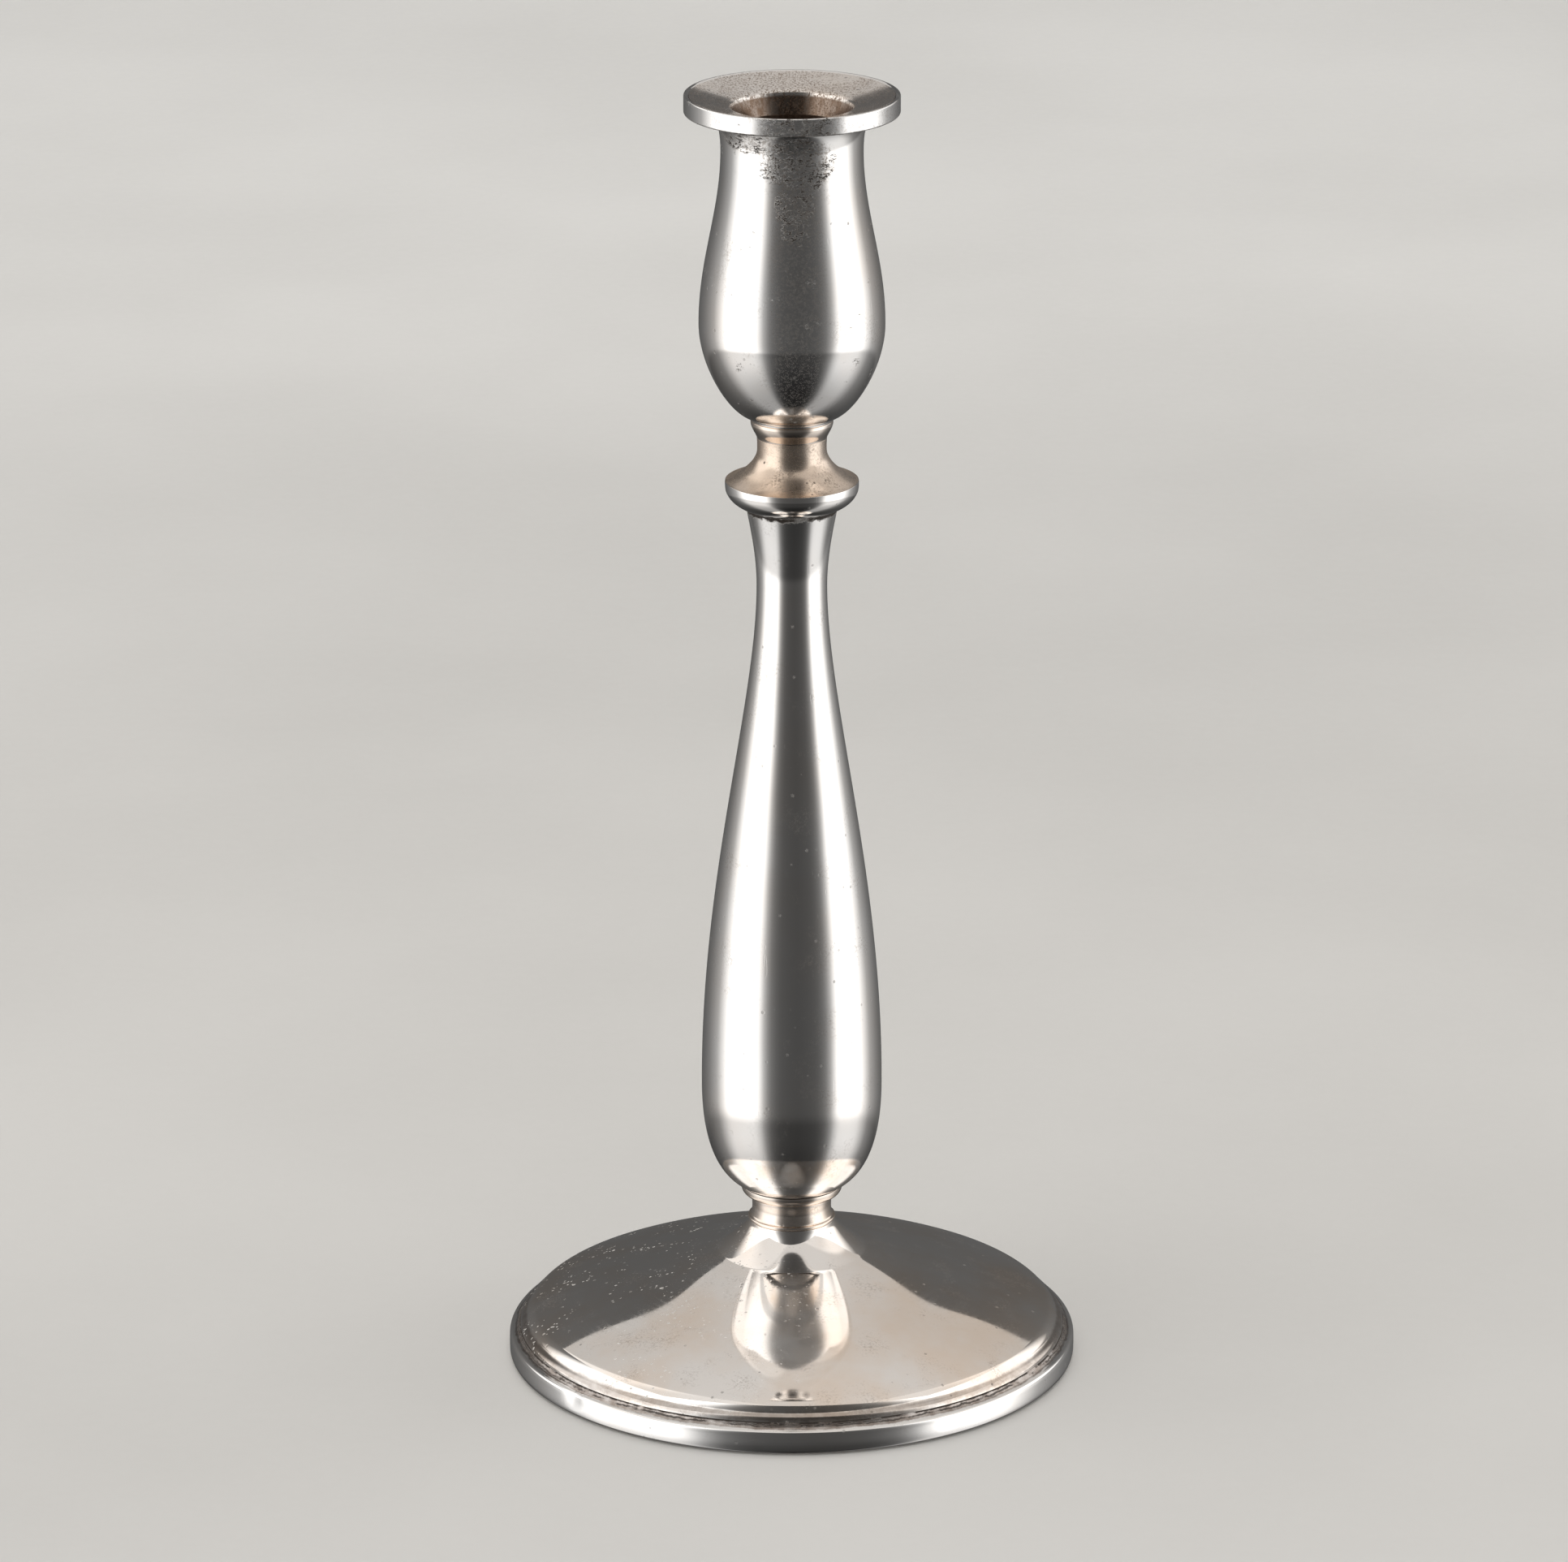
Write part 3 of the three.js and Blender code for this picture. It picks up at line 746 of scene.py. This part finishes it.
under = edge_z - 2.0 * MM
stem_top = high("stem_shell")
turned("knop_dish", join(
    [(9.0 * MM, stem_top)],
    curve((9.0 * MM, stem_top + 0.15 * MM), (10.1 * MM, 177.6 * MM), (12.3 * MM, 178.4 * MM),
          (knop - 0.1 * MM, under), 18),
    curve((knop - 0.1 * MM, under), (radius("knop_dish"), under + 0.7 * MM),
          (radius("knop_dish"), edge_z - 0.4 * MM), (knop, edge_z), 12),
    [(10.2 * MM, edge_z), (10.2 * MM, edge_z - 1.3 * MM), (8 * MM, 178.7 * MM), (hole, 178.7 * MM),
     (hole, stem_top)],
), "knop_dish", silver_knop, edge=0.12 * MM)

# ---------------------------------------------------------------- stem, ring and ferrule
stem_foot = (10.05 * MM, low("stem_shell"))
bulb = (radius("stem_shell"), 57.4 * MM)
stem_waist = (6.95 * MM, 161.2 * MM)


def stem_outline():
    return join(
        curve(stem_foot, (16 * MM, 38.9 * MM), (bulb[0], bulb[1] - 10.3 * MM), bulb, 30),
        curve(bulb, (bulb[0], bulb[1] + 44 * MM), (stem_waist[0], stem_waist[1] - 24.5 * MM), stem_waist, 44),
        curve(stem_waist, (stem_waist[0], stem_waist[1] + 6 * MM), (8.2 * MM, 173 * MM),
              (8.95 * MM, stem_top), 16),
    )


outer = stem_outline()
turned("stem", join(outer, reversed(inset(outer, SHEET))), "stem_shell", silver_stem, edge=0.12 * MM)

ring = radius("stem_ring")
ring_low = low("stem_ring")
ring_high = high("stem_ring")
turned("bulb_ring", join(
    [(hole, ring_low)],
    curve((8.25 * MM, ring_low), (9.4 * MM, ring_low + 0.15 * MM), (ring, ring_low + 0.9 * MM),
          (ring, ring_low + 1.6 * MM), 10),
    [(ring, ring_high - 0.15 * MM), (ring - 0.3 * MM, ring_high), (hole, ring_high)],
), "stem_ring", silver_warm, MEDIUM, edge=0.12 * MM)

ferrule = 8.05 * MM
bead = radius("foot_ferrule")
neck_z = low("foot_ferrule")
turned("ferrule", join(
    [(ferrule - 1.2 * MM, neck_z)],
    arc((bead - 0.42 * MM, neck_z + 0.42 * MM), 0.42 * MM, -90, 80, 12),
    curve((ferrule + 0.25 * MM, neck_z + 0.95 * MM), (ferrule, neck_z + 1.2 * MM),
          (ferrule - 0.12 * MM, neck_z + 1.9 * MM), (ferrule - 0.12 * MM, neck_z + 2.7 * MM), 8),
    curve((ferrule - 0.12 * MM, neck_z + 2.7 * MM), (ferrule - 0.12 * MM, neck_z + 3.6 * MM),
          (ferrule, ring_low - 0.8 * MM), (ferrule, ring_low), 8),
    [(ferrule - 1.2 * MM, ring_low)],
), "foot_ferrule", silver_warm, MEDIUM, edge=0.06 * MM)

# ---------------------------------------------------------------- foot
step = (radius("foot_shell"), SEAM_STEP)
fall = (53.5 * MM, 7.7 * MM)
shoulder = (51.6 * MM, 9.5 * MM)
knee = (15.1 * MM, 21.8 * MM)
foot_neck = (8.6 * MM, high("foot_shell"))
SHOULDER_SLOPE = math.radians(25.8)
KNEE_SLOPE = math.radians(21.3)


def downhill(point, distance, slope):
    """A point further down the dome's slope, by a distance in millimetres."""
    return (point[0] + distance * MM * math.cos(slope), point[1] - distance * MM * math.sin(slope))


def foot_outline():
    return join(
        curve(step, (54.6 * MM, 7.1 * MM), (53.9 * MM, 7.2 * MM), fall, 12),
        curve(fall, (53.2 * MM, 8.3 * MM), downhill(shoulder, 1, SHOULDER_SLOPE), shoulder, 14),
        curve(shoulder, downhill(shoulder, -15.3, SHOULDER_SLOPE), downhill(knee, 16, KNEE_SLOPE), knee, 56),
        curve(knee, downhill(knee, -0.5, KNEE_SLOPE), (foot_neck[0], foot_neck[1] - 1.85 * MM),
              foot_neck, 22),
    )


outer = foot_outline()
turned("foot_dome", join(outer, reversed(inset(outer, SHEET))),
       "foot_shell", silver_foot, FINEST, edge=0.1 * MM)

band = radius("foot_rim_band")
band_low = low("foot_rim_band")
lip_inner = 53.2 * MM
plate_z = low("base_plate")
DENTS = [                        # place, reach and depth
    (Vector((-43.6, -37.4, 4.4)) * MM, 3.2 * MM, 0.28 * MM),
    (Vector((31, -48.4, 3.8)) * MM, 2.4 * MM, 0.1 * MM),
]


def dented(point):
    """Small knocks in the edge of the foot, pushed towards the axis."""
    for centre, reach, depth in DENTS:
        away = (point - centre).length / reach
        if away < 1:
            push = depth * (1 - away * away) ** 2
            flat = Vector((point.x, point.y, 0)).normalized()
            point = point - flat * push - Vector((0, 0, 0.4 * push))
    return point


turned("foot_band", join(
    [(lip_inner, band_low)],
    curve((band - 0.6 * MM, band_low), (band - 0.2 * MM, band_low), (band - 0.06 * MM, band_low + 0.25 * MM),
          (band - 0.03 * MM, band_low + 0.6 * MM), 8),
    curve((band - 0.03 * MM, band_low + 0.6 * MM), (band, 1.8 * MM), (band, 3.0 * MM),
          (band - 0.03 * MM, 3.8 * MM), 10),
    curve((band - 0.03 * MM, 3.8 * MM), (band - 0.08 * MM, 4.5 * MM), (band - 0.45 * MM, 4.78 * MM),
          (band - 0.8 * MM, 4.88 * MM), 12),
    curve((band - 0.8 * MM, 4.88 * MM), (band - 1.3 * MM, 5.05 * MM), (step[0] + 0.5 * MM, 5.3 * MM),
          (step[0], SEAM_STEP), 10),
    [(step[0] - 1.3 * MM, SEAM_STEP), (step[0] - 1.3 * MM, 5 * MM), (band - 1.1 * MM, 3.9 * MM),
     (band - 1.1 * MM, plate_z), (lip_inner, plate_z)],
), "foot_rim_band", silver_band, FINEST, edge=0.1 * MM, shape=dented)

# ---------------------------------------------------------------- underside
turned("baize", join(
    [(0, 0), (radius("baize_pad") - 0.4 * MM, 0)],
    arc((radius("baize_pad") - 0.4 * MM, 0.4 * MM), 0.4 * MM, -90, 0, 6),
    [(radius("baize_pad"), high("baize_pad")), (0, high("baize_pad"))],
), "baize_pad", wool("baize"))

steel_finish = steel("mild_steel")
pitch_finish = pitch("pitch_loading")
CARRIED = {
    "cup_liner": silver_liner,
    "base_plate": steel_finish,
    "tie_rod": steel_finish,
    "tie_rod_top_washer": steel_finish,
    "tie_rod_top_nut": steel_finish,
    "tie_rod_foot_nut": steel_finish,
    "foot_loading": pitch_finish,
    "stem_loading": pitch_finish,
}
for node, finish in CARRIED.items():
    frame["nodes"][node].data.materials.clear()
    frame["nodes"][node].data.materials.append(finish)

# ---------------------------------------------------------------- stage
FLOOR_REACH = 2.6                # flat out to here
FLOOR_RISE = 1.6                 # radius of the sweep into the backdrop
FLOOR_TOP = 3.2
FLOOR_FACETS = 96

# Brightness of the room by the angle in degrees round from the front (-Y), 180 being behind. It is
# fitted to the photo's tones, and has no upper limit in height.
SIDE_BANKS = [
    (0, 0.042), (22, 0.05), (35, 0.09), (44, 0.26), (51, 0.72), (59, 1.0),
    (90, 1.0), (102, 0.62), (116, 0.22), (144, 0.085), (180, 0.055),
]
# Above eye level the banks reach further round: from none to full, then full to none, in degrees.
WING = (50, 60, 122, 143)
WING_LEVEL = 0.85
BANK_STRENGTH = 1.7
FRONT_SHIFT = math.radians(8)    # the dark gap between the banks is a little to the right
SIDE_SHIFT = math.radians(4)
ROOM_COLOUR = (1, 0.995, 0.985, 1)
OVERHEAD_COLOUR = (1, 0.97, 0.935, 1)
OVERHEAD_STRENGTH = 0.66
PANEL_SPREAD = 0.5               # the bright sides of the panel draw apart towards the back
PANEL_LEFT = 0.16
PANEL_RIGHT = 0.30
PANEL_EDGE = 0.04                # width over which they brighten
PANEL_SIDES = 1.7                # brightness of the sides against the middle
PANEL_FADE = (-0.05, 0.2)        # the sides dim towards the front, over this range of y
OVERHEAD = [(-0.55, -0.24, 0.595), (0.55, -0.24, 0.485), (0.55, 0.70, 0.485), (-0.55, 0.70, 0.595)]
FILL_SIZE = 2.4
FILL_ENERGY = 26                 # watts
FILL_PLACE = (0, 0.6, 2.6)


def make_floor():
    """A round pale floor that sweeps up into a backdrop on every side."""
    s = Finish("pale_floor")
    grain = s.noise(260, 4, 0.6)
    clouds = s.ramp(s.noise(5, 3, 0.5), 0.3, 0.7)
    tone = s.blend(clouds, colour(0.60, 0.59, 0.57), colour(0.64, 0.63, 0.61))
    s.set(Base_Color=tone, Roughness=s.ramp(grain, 0.3, 0.7, 0.55, 0.65))
    sweep = join(
        [(0.3, 0), (1.0, 0), (FLOOR_REACH, 0)],
        arc((FLOOR_REACH, FLOOR_RISE), FLOOR_RISE, -90, 0, 24),
        [(FLOOR_REACH + FLOOR_RISE, FLOOR_TOP)],
    )
    build = bmesh.new()
    angles = [2 * math.pi * k / FLOOR_FACETS for k in range(FLOOR_FACETS)]
    rings = [
        [build.verts.new((r * math.cos(angle), r * math.sin(angle), z)) for angle in angles]
        for r, z in sweep
    ]
    build.faces.new(rings[0])
    for one, other in zip(rings, rings[1:]):
        for k in range(FLOOR_FACETS):
            after = (k + 1) % FLOOR_FACETS
            build.faces.new([one[k], one[after], other[after], other[k]])
    bmesh.ops.recalc_face_normals(build, faces=build.faces)
    mesh = bpy.data.meshes.new("floor")
    build.to_mesh(mesh)
    build.free()
    mesh.shade_smooth()
    mesh.materials.append(s.material)
    floor = bpy.data.objects.new("floor", mesh)
    bpy.context.scene.collection.objects.link(floor)
    floor.visible_glossy = False     # the silver mirrors the dark room, as in the photo, and not this
    floor.visible_shadow = False     # light from below the horizon comes through it


def light_studio():
    """Soft studio light by direction: tall side banks, a large overhead panel and a dark room."""
    world = bpy.data.worlds.new("studio")
    world.use_nodes = True
    s = Shader(world.node_tree, "Generated")
    output = s.tree.nodes.new("ShaderNodeOutputWorld")
    background = s.tree.nodes.new("ShaderNodeBackground")
    s.tree.links.new(background.outputs[0], output.inputs[0])
    bearing = s.maths("ARCTAN2", s.x, s.times(s.y, -1.0))
    shift = s.ramp(s.size(bearing), math.radians(60), math.radians(95), FRONT_SHIFT, SIDE_SHIFT)
    round_angle = s.size(s.minus(bearing, shift))
    ramp = s.tree.nodes.new("ShaderNodeValToRGB")
    ramp.color_ramp.interpolation = "B_SPLINE"
    s.tree.links.new(s.maths("DIVIDE", round_angle, math.pi), ramp.inputs[0])
    elements = ramp.color_ramp.elements
    for k, (degrees, level) in enumerate(SIDE_BANKS):
        element = elements[k] if k < 2 else elements.new(degrees / 180)
        element.position = degrees / 180
        element.color = (level, level, level, 1)
    # all of it is dimmer below the horizon, in a step and then a slope
    below = s.times(s.ramp(s.z, -0.43, -0.37, 0.55, 1.0), s.ramp(s.z, -0.95, -0.5, 0.4, 1.0))
    behind = s.ramp(round_angle, math.radians(WING[2]), math.radians(WING[3]), 1.0, 0.0)
    ahead = s.ramp(round_angle, math.radians(WING[0]), math.radians(WING[1]))
    wing = s.times(ahead, behind, s.ramp(s.z, 0.02, 0.2))
    level = s.most(ramp.outputs[0], s.times(wing, WING_LEVEL))
    s.put(s.times(level, below, BANK_STRENGTH), background.inputs["Strength"])
    background.inputs["Color"].default_value = ROOM_COLOUR
    bpy.context.scene.world = world

    build = bmesh.new()
    build.faces.new([build.verts.new(corner) for corner in OVERHEAD])
    mesh = bpy.data.meshes.new("overhead")
    build.to_mesh(mesh)
    build.free()
    s = Finish("overhead")
    s.tree.nodes.remove(s.surface)
    glow = s.tree.nodes.new("ShaderNodeEmission")
    s.tree.links.new(glow.outputs[0], s.output.inputs[0])
    glow.inputs["Color"].default_value = OVERHEAD_COLOUR
    spread = s.times(s.y, PANEL_SPREAD)
    left = s.ramp(s.minus(s.times(s.x, -1.0), spread), PANEL_LEFT, PANEL_LEFT + PANEL_EDGE)
    right = s.ramp(s.minus(s.x, spread), PANEL_RIGHT, PANEL_RIGHT + PANEL_EDGE)
    middle = s.ramp(s.y, 0.0, 0.6, 1.12, 0.92)
    faded = s.ramp(s.y, *PANEL_FADE, 0.35, 1.0)
    level = s.plus(middle, s.times(s.most(left, right), faded, PANEL_SIDES - 1.0))
    s.put(s.times(level, OVERHEAD_STRENGTH), glow.inputs["Strength"])
    mesh.materials.append(s.material)
    panel = bpy.data.objects.new("overhead", mesh)
    panel.visible_camera = False
    panel.visible_shadow = False
    bpy.context.scene.collection.objects.link(panel)

    fill = bpy.data.lights.new("fill", "AREA")
    fill.shape = "DISK"
    fill.size = FILL_SIZE
    fill.energy = FILL_ENERGY
    lamp = bpy.data.objects.new("fill", fill)
    lamp.location = FILL_PLACE
    lamp.visible_camera = False
    lamp.visible_glossy = False
    bpy.context.scene.collection.objects.link(lamp)


make_floor()
light_studio()

# ---------------------------------------------------------------- camera
CAMERA_DISTANCE = 5.993          # from the axis, in heights of the candlestick
CAMERA_HEIGHT = 2.427
CAMERA_PITCH = 18.14             # degrees below level
CAMERA_YAW = 0.057
SENSOR = 36                      # millimetres
FOCAL_LENGTH = 190
height = CAD_BOX[1].z - CAD_BOX[0].z
lens = bpy.data.cameras.new("camera")
lens.sensor_width = SENSOR
lens.lens = FOCAL_LENGTH
camera = bpy.data.objects.new("camera", lens)
camera.location = (0, -CAMERA_DISTANCE * height, CAMERA_HEIGHT * height)
camera.rotation_euler = (math.radians(90 - CAMERA_PITCH), 0, math.radians(CAMERA_YAW))
bpy.context.scene.collection.objects.link(camera)
bpy.context.scene.camera = camera
bpy.context.scene.view_settings.view_transform = "Standard"
